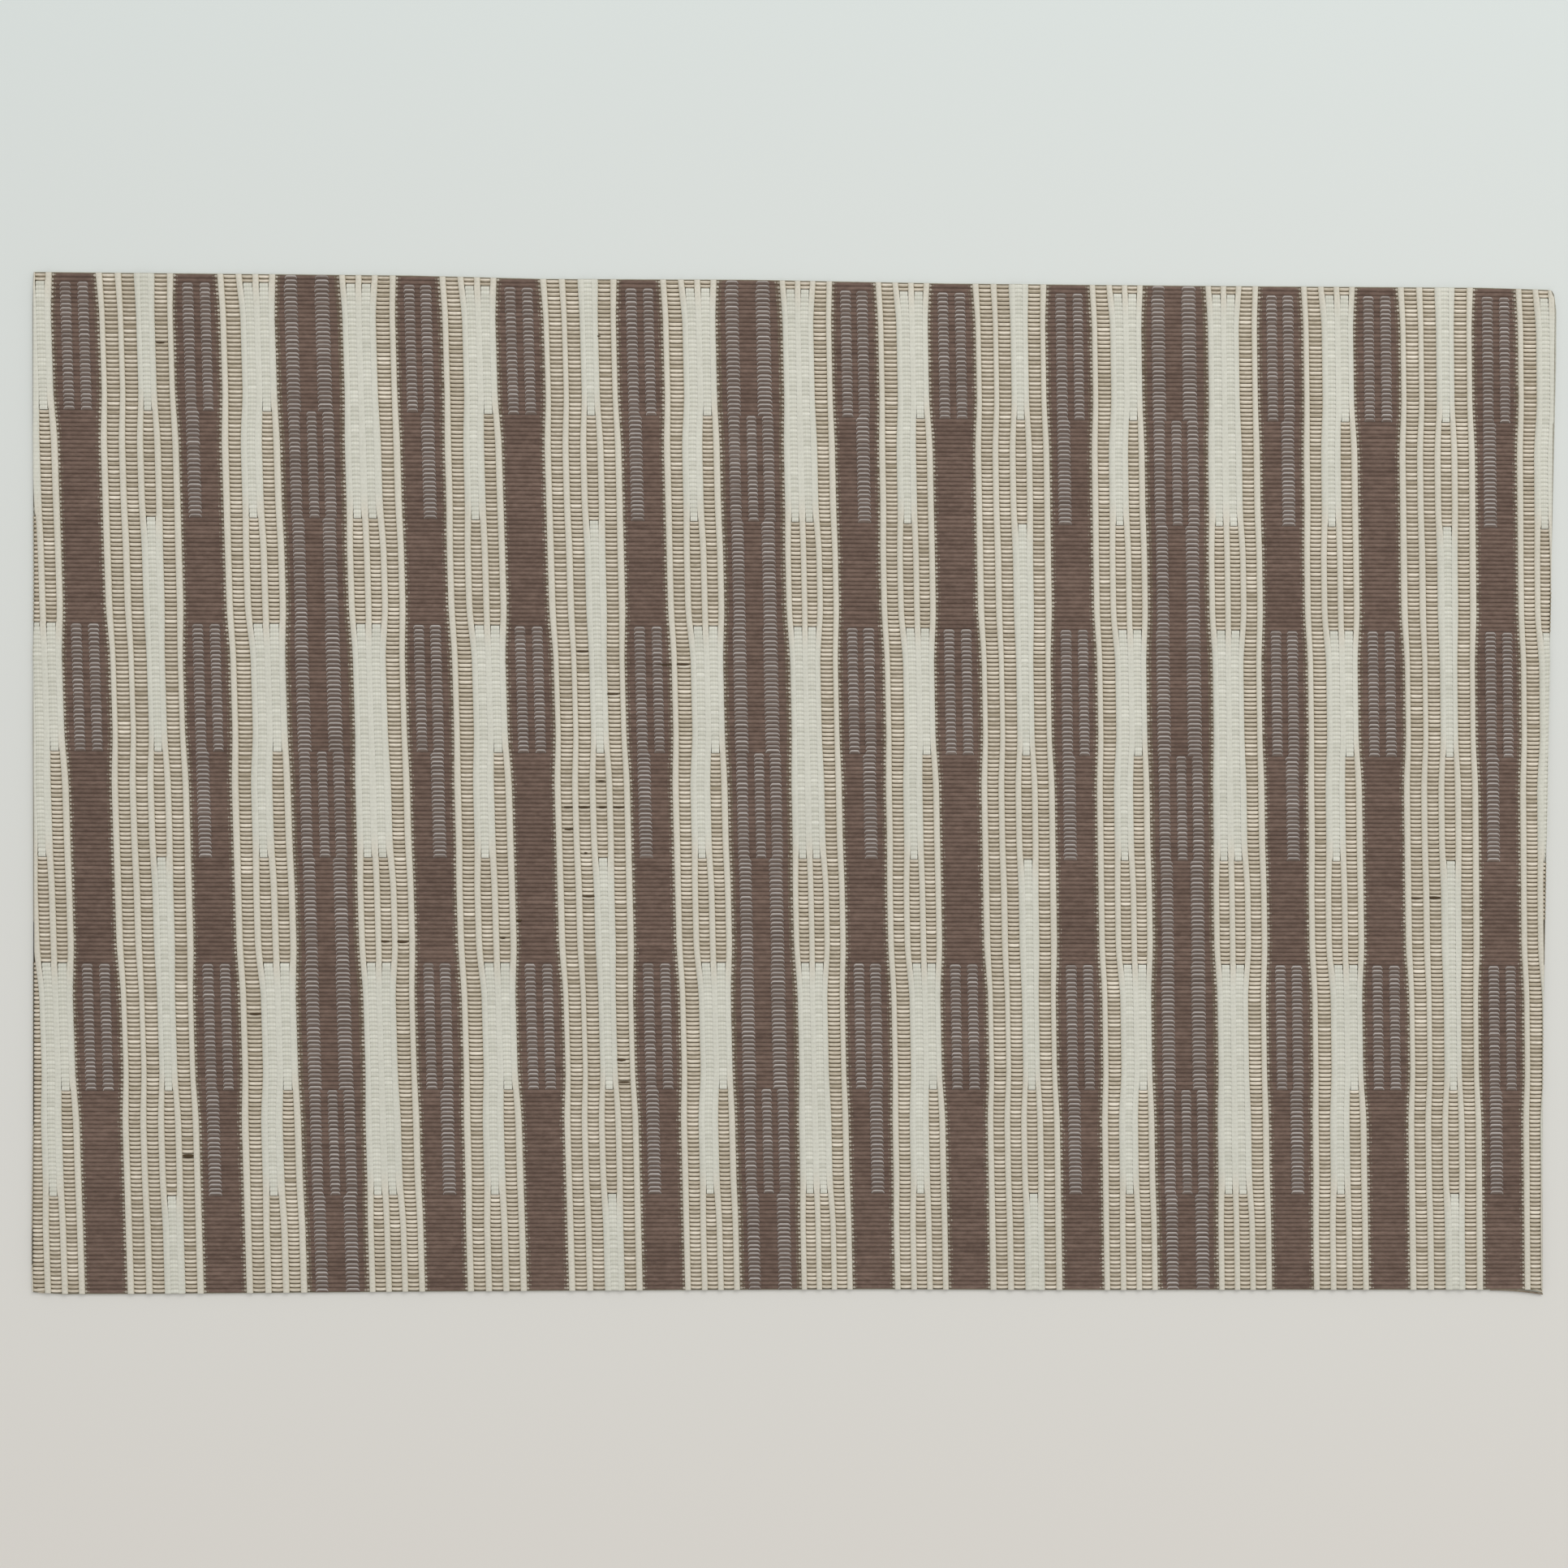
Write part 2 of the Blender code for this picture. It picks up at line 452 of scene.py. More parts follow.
def place_piece(mesh, name):
    """Make a finished piece from a mesh that is already in place."""
    piece = bpy.data.objects.new(name, mesh)
    bpy.context.scene.collection.objects.link(piece)
    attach(piece, "root")
    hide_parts("placemat")
    return piece


def lay_floats(name, tree, floats, yarn, shape):
    """Lay floats of one yarn, as rows of x, y, z, length, width, height and shade, in mm."""
    floats = np.asarray(floats, dtype=float)
    points = bpy.data.meshes.new(name + "_places")
    points.from_pydata((floats[:, :3] * MM).tolist(), [], [])
    store(points, "size", floats[:, 3:6] * MM, "FLOAT_VECTOR")
    store(points, "shade", floats[:, 6])
    carrier = bpy.data.objects.new(name + "_places", points)
    bpy.context.scene.collection.objects.link(carrier)
    modifier = carrier.modifiers.new("Floats", "NODES")
    modifier.node_group = tree
    sockets = {item.name: item.identifier for item in tree.interface.items_tree}
    for socket, value in zip(SHAPE_INPUTS, shape):
        modifier[sockets[socket]] = value
    modifier[sockets["Yarn"]] = yarn
    depsgraph = bpy.context.evaluated_depsgraph_get()
    mesh = bpy.data.meshes.new_from_object(carrier.evaluated_get(depsgraph))
    mesh.name = name
    bpy.data.objects.remove(carrier)
    bake_map(mesh)
    return place_piece(mesh, name)


# Materials

def linear(red, green, blue):
    """Colour of a shader socket from screen values 0 to 255."""
    steps = [value / 255 for value in (red, green, blue)]
    colour = [s / 12.92 if s <= 0.04045 else ((s + 0.055) / 1.055) ** 2.4 for s in steps]
    return (*colour, 1.0)


def paper_yarn(name, pale, deep, ends=None, ends_from=0.6, ends_to=1.0, valley_shade=0.0, lean=0.0,
               fleck=0.5, valley_dash_shade=0.0, turned=False, ribbed=False, warps=0.0, merging=None):
    """Twisted paper yarn, between a pale and a deep tone.

    Its tone follows the float's shade, mottling along the yarn, painted shade in the valleys
    along both its edges, and a lean of painted shade that deepens the edge toward the near
    edge of the mat, as if lit from the far side. An ends colour takes over toward the
    float's two ends: on the rungs and ribbons it is painted shade where they dive under or
    drop beside their neighbours, on the brown ribs their own olive edge colour. The ribbons
    also get a small painted shade mark in each rib valley. Turned yarn runs down the mat.
    Ribbed paper draws the ribs itself, on the flat underside, with a bump and with painted
    shade in their valleys. Warps draw fine lines across a face, and merging colours take
    over where a ribbon has merged with one.
    """
    material = bpy.data.materials.new(name)
    material.use_nodes = True
    tree = material.node_tree
    nodes = tree.nodes
    links = tree.links
    shader = nodes["Principled BSDF"]
    shader.inputs["Roughness"].default_value = 0.8
    shader.inputs["Specular IOR Level"].default_value = 0.25

    def kept(attribute):
        node = nodes.new("ShaderNodeAttribute")
        node.attribute_name = attribute
        return node.outputs["Fac"]

    def noise(scale, detail):
        stretch = nodes.new("ShaderNodeMapping")
        along, across = (scale[1], scale[0]) if turned else scale
        stretch.inputs["Scale"].default_value = (along, across, scale[0])
        links.new(coords.outputs["Object"], stretch.inputs["Vector"])
        texture = nodes.new("ShaderNodeTexNoise")
        texture.inputs["Scale"].default_value = 1.0
        texture.inputs["Detail"].default_value = detail
        links.new(stretch.outputs[0], texture.inputs["Vector"])
        return texture.outputs["Fac"]

    def weighed(value, middle, weight):
        return math_node(tree, "MULTIPLY", math_node(tree, "SUBTRACT", value, middle), weight)

    coords = nodes.new("ShaderNodeTexCoord")
    fibre = noise((900.0, 2600.0), 3.0)
    flecks = noise((380.0, 900.0), 2.0)
    cloud = noise((45.0, 45.0), 3.0)
    tone = math_node(tree, "ADD", kept("shade"), weighed(fibre, 0.5, 0.7))
    tone = math_node(tree, "ADD", tone, weighed(flecks, 0.5, fleck))
    tone = math_node(tree, "ADD", tone, weighed(cloud, 0.5, 0.5))
    # Painted shade: deepens the tone toward both edges of each float, in the valleys between ribs
    if valley_shade:
        valley = math_node(tree, "POWER", math_node(tree, "ABSOLUTE", kept("across")), 3.0)
        tone = math_node(tree, "ADD", tone, math_node(tree, "MULTIPLY", valley, valley_shade))
    # Painted shade: deepens the float's edge toward the near edge of the mat, as if lit from the far side
    if lean:
        tone = math_node(tree, "ADD", tone, math_node(tree, "MULTIPLY", kept("across"), -lean))
    # Painted shade: a small dark mark in each rib valley, down the middle of the ribbon
    if valley_dash_shade:
        valley = math_node(tree, "POWER", kept("valley_dash_shade"), 3.0)
        from_middle = math_node(tree, "ABSOLUTE", kept("along"))
        core = math_node(tree, "SUBTRACT", 1.0, math_node(tree, "MULTIPLY", from_middle, 1.6))
        core.node.use_clamp = True
        core = math_node(tree, "MAXIMUM", core, math_node(tree, "MULTIPLY", kept("merged"), 0.6))
        dashed = math_node(tree, "MULTIPLY", math_node(tree, "MULTIPLY", valley, core), valley_dash_shade)
        tone = math_node(tree, "ADD", tone, dashed)
    if warps:
        turns = math_node(tree, "ADD", kept("along"), 1.0)
        turns = math_node(tree, "MULTIPLY", turns, 2.0 * math.pi * warps)
        beat = math_node(tree, "COSINE", turns)
        beat = math_node(tree, "POWER", math_node(tree, "MAXIMUM", beat, 0.0), 4.0)
        tone = math_node(tree, "ADD", tone, math_node(tree, "MULTIPLY", beat, 0.35))
    relief = fibre
    if ribbed:
        down = nodes.new("ShaderNodeSeparateXYZ")
        links.new(coords.outputs["Object"], down.inputs[0])
        turns = math_node(tree, "MULTIPLY", down.outputs["Y"], 2.0 * math.pi / (PITCH * MM))
        relief = math_node(tree, "COSINE", turns)
        # Painted shade: the ribs' valleys are painted deeper and their crests paler, along with the bump
        tone = math_node(tree, "ADD", tone, math_node(tree, "MULTIPLY", relief, -0.16))
    mix = nodes.new("ShaderNodeMix")
    mix.data_type = "RGBA"
    mix.inputs["A"].default_value = pale
    mix.inputs["B"].default_value = deep
    links.new(tone, mix.inputs["Factor"])
    colour = mix.outputs["Result"]
    if merging:
        joined = nodes.new("ShaderNodeMix")
        joined.data_type = "RGBA"
        joined.inputs["A"].default_value = merging[0]
        joined.inputs["B"].default_value = merging[1]
        links.new(tone, joined.inputs["Factor"])
        blend = nodes.new("ShaderNodeMix")
        blend.data_type = "RGBA"
        links.new(kept("merged"), blend.inputs["Factor"])
        links.new(colour, blend.inputs["A"])
        links.new(joined.outputs["Result"], blend.inputs["B"])
        colour = blend.outputs["Result"]
    # On the rungs and ribbons the ends colour is painted shade where they dive under or drop beside their
    # neighbours; on the brown ribs it is their own olive edge colour
    if ends:
        reach = nodes.new("ShaderNodeMapRange")
        reach.interpolation_type = "SMOOTHSTEP"
        reach.inputs["From Min"].default_value = ends_from
        reach.inputs["From Max"].default_value = ends_to
        from_middle = math_node(tree, "ABSOLUTE", kept("along"))
        place = math_node(tree, "ADD", from_middle, weighed(fibre, 0.5, 0.2))
        if merging:
            pulled_in = math_node(tree, "MULTIPLY", kept("merged"), 0.4)
            place = math_node(tree, "SUBTRACT", place, pulled_in)
        links.new(place, reach.inputs["Value"])
        cap = nodes.new("ShaderNodeMix")
        cap.data_type = "RGBA"
        cap.inputs["B"].default_value = ends
        links.new(reach.outputs[0], cap.inputs["Factor"])
        links.new(colour, cap.inputs["A"])
        colour = cap.outputs["Result"]
    links.new(colour, shader.inputs["Base Color"])

    bump = nodes.new("ShaderNodeBump")
    bump.inputs["Distance"].default_value = 0.00008
    bump.inputs["Strength"].default_value = 0.3
    links.new(relief, bump.inputs["Height"])
    links.new(bump.outputs[0], shader.inputs["Normal"])
    return material


# Pieces

def in_halves(columns):
    """Columns left and right of the mat's middle, so that no piece grows too large."""
    left = [column for column in columns if column.left.mean() < 0.0]
    right = [column for column in columns if column.left.mean() >= 0.0]
    return {"left": left, "right": right}


def slit_share(kinds, rib):
    """How far a face column has drawn in beside a ladder: 1 at the ladder, 0 past it."""
    near = kinds[max(rib - SLIT_RIBS, 0):rib + SLIT_RIBS + 1]
    away = [abs(place - min(rib, SLIT_RIBS)) for place, kind in enumerate(near) if kind == "L"]
    return max(1.0 - (min(away) - 1) / SLIT_RIBS, 0.0) if away else 0.0


def rib_floats(columns, wanted, sizes, random):
    """A float for each rib that a column shows as the wanted kind."""
    seat, height, share, overlap, spread = sizes
    phases = rib_phases()
    floats = []
    for column in columns:
        kinds = [column.kind_at(phase) for phase in phases]
        for rib in range(RIBS):
            if kinds[rib] != wanted:
                continue
            left = column.left[2 * rib + 1]
            right = column.right[2 * rib + 1]
            if right - left < SHORTEST_RIB:
                continue
            length = right - left + overlap
            if wanted == "F":
                length -= SLIT_WIDTH * slit_share(kinds, rib)
            x = (left + right) / 2
            y = outline.rib_y(x, 2 * rib + 1)
            shade = random.normal(0.5, spread)
            floats.append((x, y, seat, length, PITCH * share, height, shade))
    return floats


def arc_places(columns):
    """Middle X, middle Y and width of every grey arc."""
    phases = rib_phases()
    for column in columns:
        for rib in range(RIBS):
            line = 2 * rib + 1
            middle = (column.left[line] + column.right[line]) / 2
            for offset, width in ARCS[column.kinds].get(phases[rib], ()):
                x = middle + offset
                if column.left[line] < x < column.right[line]:
                    yield x, outline.rib_y(x, line), width


def arc_floats(columns, random):
    """Grey wefts that show as arcs on the brown stripes."""
    floats = []
    for x, y, width in arc_places(columns):
        y += random.normal(ARC_SHIFT, 0.04)
        length = width + random.normal(0.0, 0.1)
        floats.append((x, y, ARC_SEAT, length, ARC_WIDTH, ARC_HEIGHT, random.normal(0.5, 0.25)))
    return floats


def arc_grounds(columns, random):
    """Brown wefts under the arcs, slightly greyer than the stripe, one to an arc."""
    floats = []
    for x, y, width in arc_places(columns):
        shade = random.normal(0.5, 0.12)
        floats.append((x, y, GROUND_SEAT, width * GROUND_SPREAD, PITCH, ARC_HEIGHT, shade))
    return floats


def knot_floats(columns, random):
    """Cream wefts that show inside both sides of each stripe, as two rows of small knots."""
    floats = []
    for column in columns:
        for rib in range(RIBS):
            for border, inward in ((column.left, 1.0), (column.right, -1.0)):
                for reach, length, height, depth in KNOTS:
                    x = border[2 * rib + 1] + inward * reach + random.uniform(-0.1, 0.1)
                    y = outline.rib_y(x, 2 * rib + 1) + random.uniform(-0.08, 0.08)
                    length = length + random.uniform(-0.12, 0.12)
                    shade = random.normal(depth, 0.25)
                    floats.append((x, y, KNOT_SEAT, length, KNOT_WIDTH, height, shade))
    return floats


def slub_floats():
    """Thick dark places in single wefts, each at the rib valley nearest to its depth."""
    floats = []
    for along, depth, length, width in SLUBS:
        x = along + CHART_MIDDLE[0] - CHART_WIDTH / 2
        y = CHART_MIDDLE[1] + CHART_DEPTH / 2 - depth
        floats.append((x, y, SLUB_SEAT, length, width * SLUB_SWELL, SLUB_HEIGHT, 0.5))
    return floats


# A ribbon's section across, and how far it dips between two ribs
RIBBON_STEPS = (-1.0, -0.65, 0.65, 1.0)
RIBBON_DIP = 0.07
MERGED_DIP = 0.1
MERGE_LINES = 13


def merged_share(column):
    """How far a ribbon has merged with a face beside it, 0 to 1, on each half rib line."""
    phases = rib_phases()
    faced = [column.meets_face(0, phase) or column.meets_face(1, phase) for phase in phases]
    faced = np.repeat(np.array(faced, dtype=float), 2)
    faced = np.append(faced, faced[-1])
    window = np.ones(2 * MERGE_LINES + 1)
    spread = np.convolve(np.pad(faced, MERGE_LINES, mode="edge"), window, mode="valid")
    return smooth_step(2.0 * spread / (2 * MERGE_LINES + 1) - 1.0)


def ribbon_mesh(name, columns, yarn):
    """Smooth warp-faced ribbons as crowned bands that dip slightly between the ribs.

    A ribbon's side has a shoulder where it meets a face, and drops where it meets open
    ladder work or a stripe.
    """
    phases = rib_phases()
    points = []
    faces = []
    kept = {"along": [], "valley_dash_shade": [], "merged": []}
    across = len(RIBBON_STEPS)
    for column in columns:
        middle = (column.left + column.right) / 2
        half = (column.right - column.left) / 2
        first = len(points)
        merged = merged_share(column)
        for line in range(LINES):
            valley = line % 2 == 0
            phase = phases[min(line // 2, RIBS - 1)]
            dip = (RIBBON_DIP + (MERGED_DIP - RIBBON_DIP) * merged[line]) * valley
            for step in RIBBON_STEPS:
                low = RIBBON_SHOULDER if column.meets_face(int(step > 0.0), phase) else RIBBON_EDGE
                z = RIBBON_CROWN if abs(step) < 1.0 else low
                x = middle[line] + half[line] * step
                y = outline.rib_y(x, line)
                points.append((x * MM, y * MM, (z - dip) * MM))
                kept["along"].append(step)
                kept["valley_dash_shade"].append(float(valley))
                kept["merged"].append(merged[line])
        for line in range(LINES - 1):
            start = first + line * across
            for side in range(across - 1):
                corner = start + side
                faces.append((corner, corner + across, corner + across + 1, corner + 1))
    mesh = bpy.data.meshes.new(name)
    mesh.from_pydata(points, [], faces)
    mesh.materials.append(yarn)
    for attribute, values in kept.items():
        store(mesh, attribute, values)
    store(mesh, "shade", np.full(len(points), 0.45))
    mesh.shade_smooth()
    bake_map(mesh)
    return mesh


BASE_INSET = 0.1
BASE_POINTS_ACROSS = 46
BASE_POINTS_DOWN = 61


# The base is the mat's real body, but its dark colour is painted shade for the gaps between the rungs and
# in the slits
def base_cloth(yarn):
    """The mat's body under the yarns: a closed sheet just above the reverse."""
    edge_xs = np.linspace(outline.far[0, 0], outline.far[-1, 0], BASE_POINTS_ACROSS)
    lines = np.linspace(0, LINES - 1, BASE_POINTS_DOWN)
    rows = []
    for line in lines:
        y_mid = outline.rib_y(0.0, line, BASE_INSET)
        west, east = outline.weave_sides(y_mid)
        share = (edge_xs - edge_xs[0]) / (edge_xs[-1] - edge_xs[0])
        xs = west + (east - west) * share
        rows.append([(x, outline.rib_y(x, line, BASE_INSET)) for x in xs])
    rows = np.array(rows)
    count_v, count_u = rows.shape[:2]
    top = [(x * MM, y * MM, BASE_TOP * MM) for x, y in rows.reshape(-1, 2)]
    under = [(x * MM, y * MM, BASE_FOOT * MM) for x, y in rows.reshape(-1, 2)]
    shift = len(top)
    faces = []
    for v in range(count_v - 1):
        for u in range(count_u - 1):
            a = v * count_u + u
            b = a + 1
            c = a + count_u + 1
            d = a + count_u
            faces.append((a, d, c, b))
            faces.append((shift + a, shift + b, shift + c, shift + d))
    last = (count_v - 1) * count_u
    for u in range(count_u - 1):
        faces.append((u, u + 1, shift + u + 1, shift + u))
        faces.append((last + u + 1, last + u, shift + last + u, shift + last + u + 1))
    for v in range(count_v - 1):
        a = v * count_u
        d = a + count_u
        faces.append((d, a, shift + a, shift + d))
        b = a + count_u - 1
        c = b + count_u
        faces.append((b, c, shift + c, shift + b))
    mesh = bpy.data.meshes.new("base_cloth")
    mesh.from_pydata(top + under, [], faces)
    mesh.materials.append(yarn)
    store(mesh, "shade", np.full(len(mesh.vertices), 0.5))
    return place_piece(mesh, "base_cloth")


# How deep each kind of work looks on the underside, from cream 0 to brown 1
REVERSE_SHADES = {"R": 0.0, "F": 0.1, "L": 0.42}
REVERSE_LINES = range(0, LINES, 16)


def reverse(name, columns, yarn):
    """The flat underside, with the stripes and columns in its paper."""
    phases = rib_phases()
    points = []
    shades = []
    faces = []
    across = 2 * len(columns)
    for line in REVERSE_LINES:
        phase = phases[min(line // 2, RIBS - 1)]
        for column in columns:
            shade = REVERSE_SHADES.get(column.kind_at(phase), 0.95)
            for x in (column.left[line], column.right[line]):
                points.append((x * MM, outline.rib_y(x, line) * MM, 0.0))
                shades.append(shade)
    for row in range(len(REVERSE_LINES) - 1):
        for place in range(across - 1):
            corner = row * across + place
            faces.append((corner, corner + 1, corner + across + 1, corner + across))
    mesh = bpy.data.meshes.new(name)
    mesh.from_pydata(points, [], faces)
    mesh.materials.append(yarn)
    store(mesh, "shade", shades)
    bake_map(mesh)
    return place_piece(mesh, name)


# Sealed rim's section, from the weave out and down to the table
RIM_SECTION = (
    # share of the way out, height in mm, shade
    (-0.5, 1.0, 1.3),
    (0.15, 0.95, 1.1),
    (0.5, 0.8, 0.35),
    (0.97, 0.5, 0.2),
    (1.0, 0.0, 0.5),
)
RIM_STEP = 1.25


def rim(yarn):
    """Thin sealed rim around the weave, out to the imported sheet's own outline."""
    back = outline.near[::-1]
    up = outline.left[::-1]
    ring = np.vstack([outline.far, outline.right[1:], back[1:], up[1:]])
    spans = np.hypot(*np.diff(ring, axis=0).T)
    travel = np.concatenate([[0.0], np.cumsum(spans)])
    stops = np.arange(0.0, travel[-1], RIM_STEP)
    xs = np.interp(stops, travel, ring[:, 0])
    ys = np.interp(stops, travel, ring[:, 1])
    points = []
    shades = []
    for x, y in zip(xs, ys):
        west, east = outline.weave_sides(y)
        inner_x = np.clip(x, west, east)
        far = outline.far_y(inner_x) - WEAVE_INSET
        near = np.maximum(outline.near_y(inner_x) + WEAVE_INSET, weave_end(inner_x))
        inner_y = np.clip(y, near, far)
        for share, height, shade in RIM_SECTION:
            shades.append(shade)
            place_x = inner_x + (x - inner_x) * share
            place_y = inner_y + (y - inner_y) * share
            points.append((place_x * MM, place_y * MM, height * MM))
    steps = len(RIM_SECTION)
    faces = []
    for place in range(len(stops)):
        here = place * steps
        there = (place + 1) % len(stops) * steps
        for step in range(steps - 1):
            faces.append((here + step, here + step + 1, there + step + 1, there + step))
    mesh = bpy.data.meshes.new("sealed_rim")
    mesh.from_pydata(points, [], faces)
    mesh.materials.append(yarn)
    store(mesh, "shade", shades)
    bake_map(mesh)
    return place_piece(mesh, "sealed_rim")


# Wefts that hang loose at the near corners, on the chart in millimetres
LOOSE_WEFTS = (
    # left end, its depth, right end, its depth, thickness, shade
    (434.0, 299.45, 449.9, 300.75, 0.55, 0.9),
    (443.5, 298.9, 449.8, 300.0, 0.6, 0.25),
    (-0.2, 298.9, 3.4, 299.9, 0.5, 0.8),
    (-0.3, 299.7, 3.3, 300.55, 0.6, 0.1),
)
LOOSE_SEAT = 0.75
LOOSE_SIDES = 6
LOOSE_STOPS = 9


def loose_wefts(yarn):
    """Loose last wefts, as thin round strands that bend down to their ends."""
    points = []
    shades = []
    faces = []
    for left, left_depth, right, right_depth, thick, shade in LOOSE_WEFTS:
        first = len(points)
        for stop in range(LOOSE_STOPS):
            share = stop / (LOOSE_STOPS - 1)
            bend = share * share if right > CHART_WIDTH / 2 else share * (2.0 - share)
            x = left + (right - left) * share + CHART_MIDDLE[0] - CHART_WIDTH / 2
            y = CHART_MIDDLE[1] + CHART_DEPTH / 2 - left_depth - (right_depth - left_depth) * bend
            for side in range(LOOSE_SIDES):
                turn = 2.0 * math.pi * side / LOOSE_SIDES
                rise = math.sin(turn) * thick * 0.4
                side_y = y - math.cos(turn) * thick / 2
                points.append((x * MM, side_y * MM, (LOOSE_SEAT + rise) * MM))
                shades.append(shade)
        for stop in range(LOOSE_STOPS - 1):
            for side in range(LOOSE_SIDES):
                a = first + stop * LOOSE_SIDES + side
                b = first + stop * LOOSE_SIDES + (side + 1) % LOOSE_SIDES
                faces.append((a, a + LOOSE_SIDES, b + LOOSE_SIDES, b))
        faces.append(tuple(range(first, first + LOOSE_SIDES)))
        last = first + (LOOSE_STOPS - 1) * LOOSE_SIDES
        faces.append(tuple(reversed(range(last, last + LOOSE_SIDES))))
    mesh = bpy.data.meshes.new("loose_wefts")
    mesh.from_pydata(points, [], faces)
    mesh.materials.append(yarn)
    store(mesh, "shade", shades)
    return place_piece(mesh, "loose_wefts")


# How each kind of float is shaped
FLOAT_SHAPES = {
    # points along and across, then end taper, dive, sharpness, bow and crowding
    "face": (5, 4, 0.0, 0.2, 8.0, 0.0, 0.6),
    "rung": (5, 4, 0.14, 0.3, 3.0, -0.14, 0.8),
    "brown": (7, 4, 0.0, 0.6, 16.0, 0.0, 1.0),
    "arc": (9, 3, 0.0, 0.3, 7.0, 0.95, 0.5),
    "ground": (4, 3, 0.0, 0.1, 2.0, 0.1, 1.0),
    "slub": (7, 4, 0.5, 0.4, 2.0, -0.1, 1.0),
    "knot": (3, 3, 0.15, 0.7, 2.0, 0.0, 1.0),
}
SHAPE_INPUTS = ("Points Along", "Points Across", "End Taper", "End Dive", "End Sharpness", "Bow",
                "End Crowding")


def yarns():
    """Every yarn's material."""
    return {
        # Ribbon: its ends colour is painted shade at its edges, where it drops beside ladders and stripes
        "ribbon": paper_yarn("ribbon_paper", linear(216, 211, 197), linear(188, 183, 168), fleck=0.3,
                             ends=linear(170, 162, 138), ends_from=0.8, ends_to=1.05, valley_dash_shade=0.6,
                             turned=True, merging=(linear(216, 215, 203), linear(188, 187, 174))),
        "face": paper_yarn("face_paper", linear(218, 217, 205), linear(192, 191, 178), valley_shade=0.35,
                           warps=1.5),
        "brown": paper_yarn("brown_paper", linear(122, 102, 91), linear(88, 71, 62), valley_shade=0.6, fleck=1.2,
                            ends=linear(104, 91, 75), ends_from=0.8, ends_to=0.96),
        "ground": paper_yarn("arc_ground", linear(122, 108, 99), linear(92, 79, 71), valley_shade=0.8),
        "arc": paper_yarn("arc_paper", linear(176, 169, 164), linear(140, 131, 125), valley_shade=0.3),
        # Rung: painted shade in its valleys, on its near edge, and at its ends where it dives under the
        # ribbons
        "rung": paper_yarn("rung_paper", linear(230, 221, 205), linear(166, 155, 135), valley_shade=0.9, lean=0.2,
                           ends=linear(170, 159, 137), ends_from=0.55, ends_to=1.0),
        "knot": paper_yarn("knot_paper", linear(190, 183, 169), linear(122, 111, 95)),
        "slub": paper_yarn("slub_paper", linear(84, 68, 44), linear(58, 45, 29), valley_shade=0.4),
        # Base: its dark colour is painted shade, seen in the gaps between the rungs and in the slits
        "base": paper_yarn("base_paper", linear(92, 80, 60), linear(70, 59, 43)),
        "rim": paper_yarn("rim_paper", linear(190, 190, 178), linear(112, 104, 86)),
        "loose": paper_yarn("loose_paper", linear(204, 194, 174), linear(104, 90, 74)),
        "reverse": paper_yarn("reverse_paper", linear(196, 189, 170), linear(98, 83, 72), ribbed=True),
    }


def dress():
    """All the mat's pieces."""
    random = np.random.default_rng(SEED)
    columns = chart_columns()
    tree = float_tree()
    yarn = yarns()
    ribbons = [column for column in columns if column.kinds == "R"]
    stripes = [column for column in columns if column.kinds in STRIPE_WIDTHS]
    worked = [column for column in columns if column not in ribbons and column not in stripes]
    for side, group in in_halves(ribbons).items():
        name = f"cream_ribbons_{side}"
        place_piece(ribbon_mesh(name, group, yarn["ribbon"]), name)
    for side, group in in_halves(worked).items():
        floats = rib_floats(group, "F", RIB_SIZES["face"], random)
        lay_floats(f"cream_faces_{side}", tree, floats, yarn["face"],
                                 FLOAT_SHAPES["face"])
        floats = rib_floats(group, "L", RIB_SIZES["rung"], random)
        lay_floats(f"tan_rungs_{side}", tree, floats, yarn["rung"],
                                 FLOAT_SHAPES["rung"])
    for side, group in in_halves(stripes).items():
        floats = []
        for kind in STRIPE_WIDTHS:
            same = [column for column in group if column.kinds == kind]
            floats += rib_floats(same, kind, RIB_SIZES["brown"], random)
        lay_floats(f"brown_ribs_{side}", tree, floats, yarn["brown"],
                                 FLOAT_SHAPES["brown"])
        lay_floats(f"arc_grounds_{side}", tree, arc_grounds(group, random),
                                 yarn["ground"], FLOAT_SHAPES["ground"])
        lay_floats(f"grey_arcs_{side}", tree, arc_floats(group, random),
                                 yarn["arc"], FLOAT_SHAPES["arc"])
        lay_floats(f"edge_knots_{side}", tree, knot_floats(group, random),
                                 yarn["knot"], FLOAT_SHAPES["knot"])
    for side, group in in_halves(columns).items():
        reverse(f"reverse_{side}", group, yarn["reverse"])
    lay_floats("slubs", tree, slub_floats(), yarn["slub"],
                             FLOAT_SHAPES["slub"])
    rim(yarn["rim"])
    loose_wefts(yarn["loose"])
    base = base_cloth(yarn["base"])


# Studio

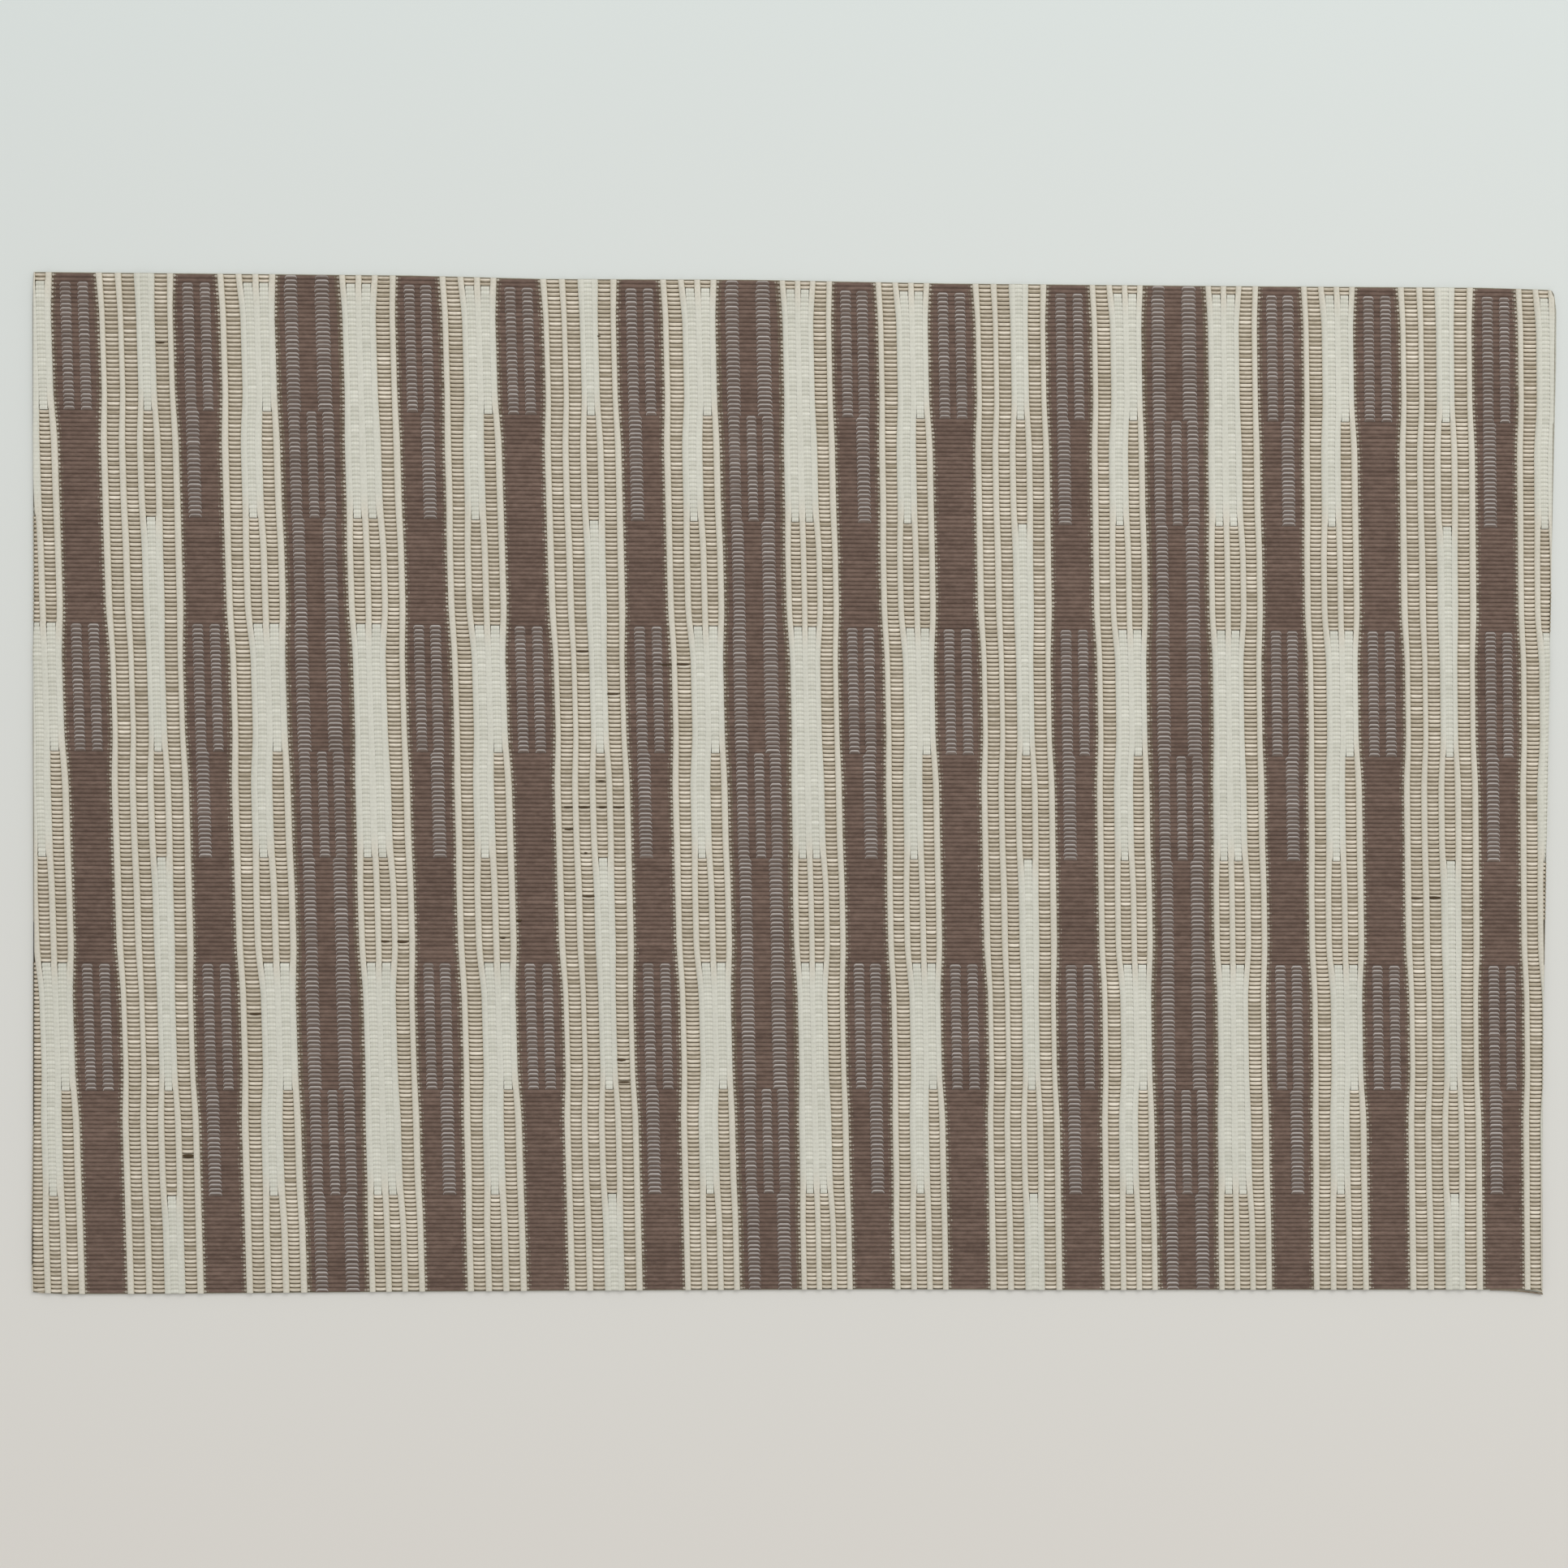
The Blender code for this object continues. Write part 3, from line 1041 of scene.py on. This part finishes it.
def floor():
    """Pale table under the mat, painted warmer toward the near edge and cooler toward the far edge for the
    light's tint.
    """
    mesh = bpy.data.meshes.new("table")
    reach = 1.6
    near = [(-reach, -reach, 0.0), (reach, -reach, 0.0)]
    far = [(reach, reach, 0.0), (-reach, reach, 0.0)]
    mesh.from_pydata(near + far, [], [(0, 1, 2, 3)])
    material = bpy.data.materials.new("pale_table")
    material.use_nodes = True
    nodes = material.node_tree.nodes
    links = material.node_tree.links
    coords = nodes.new("ShaderNodeTexCoord")
    place = nodes.new("ShaderNodeSeparateXYZ")
    links.new(coords.outputs["Object"], place.inputs[0])
    # Painted light tint: the table turns from warm at the near side to cool at the far side
    share = nodes.new("ShaderNodeMapRange")
    share.inputs["From Min"].default_value = -0.24
    share.inputs["From Max"].default_value = 0.24
    links.new(place.outputs["Y"], share.inputs["Value"])
    mix = nodes.new("ShaderNodeMix")
    mix.data_type = "RGBA"
    mix.inputs["A"].default_value = linear(214, 210, 203)
    mix.inputs["B"].default_value = linear(208, 214, 211)
    links.new(share.outputs[0], mix.inputs["Factor"])
    shader = nodes["Principled BSDF"]
    links.new(mix.outputs["Result"], shader.inputs["Base Color"])
    shader.inputs["Roughness"].default_value = 0.9
    mesh.materials.append(material)
    table = bpy.data.objects.new("table", mesh)
    bpy.context.scene.collection.objects.link(table)


def lights():
    """Soft light from the far right, over an even pale surround."""
    world = bpy.data.worlds.new("surround")
    world.use_nodes = True
    background = world.node_tree.nodes["Background"]
    background.inputs["Color"].default_value = (1.0, 1.0, 1.0, 1.0)
    background.inputs["Strength"].default_value = 0.72
    bpy.context.scene.world = world
    lamp = bpy.data.lights.new("window", "AREA")
    lamp.shape = "SQUARE"
    lamp.size = 1.0
    lamp.energy = 16.0
    window = bpy.data.objects.new("window", lamp)
    window.location = (0.45, 1.1, 1.5)
    toward = Vector((0.0, 0.0, 0.0)) - window.location
    window.rotation_euler = toward.to_track_quat("-Z", "Y").to_euler()
    bpy.context.scene.collection.objects.link(window)


def camera():
    """Camera above the mat, almost straight down, as photographed."""
    lens = bpy.data.cameras.new("camera")
    lens.lens = 50.0
    lens.sensor_width = 36.0
    holder = bpy.data.objects.new("camera", lens)
    holder.location = (-0.0177, 0.0107, 0.6472)
    holder.rotation_euler = (math.radians(-0.827), math.radians(-1.212), math.radians(0.336))
    bpy.context.scene.collection.objects.link(holder)
    bpy.context.scene.camera = holder


dress()
floor()
lights()
camera()
bpy.context.scene.view_settings.view_transform = "Standard"
